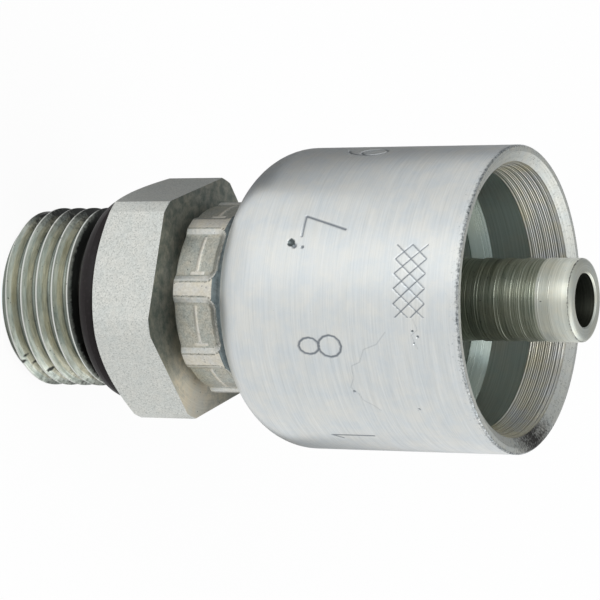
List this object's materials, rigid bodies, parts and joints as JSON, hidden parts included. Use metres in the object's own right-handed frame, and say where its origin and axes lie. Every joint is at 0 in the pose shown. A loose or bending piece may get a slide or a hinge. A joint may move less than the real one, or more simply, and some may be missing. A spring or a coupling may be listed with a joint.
{
  "type": "crimp hose fitting",
  "caption": "Straight crimp hose fitting: male O-ring boss stud with hexagon, domed crimp shell pressed onto the neck, and hose tail inside the open shell.",
  "frame": {"origin": "centre of the stud's end face, on which the fitting stands", "axes": "+Z along the fitting's axis from the stud to the hose tail, flats of the hexagon face -Y and +Y"},
  "size_m": [0.0232, 0.0232, 0.0474],
  "materials": {
    "body_steel": "zinc plated, fine turning marks",
    "shell_steel": "zinc plated, satin with fine turning marks",
    "seal_rubber": "matt black nitrile"
  },
  "bodies": {
    "root": {"fitting_body": "body_steel", "crimp_shell": "shell_steel", "o_ring": "seal_rubber"}
  },
  "joints": []
}
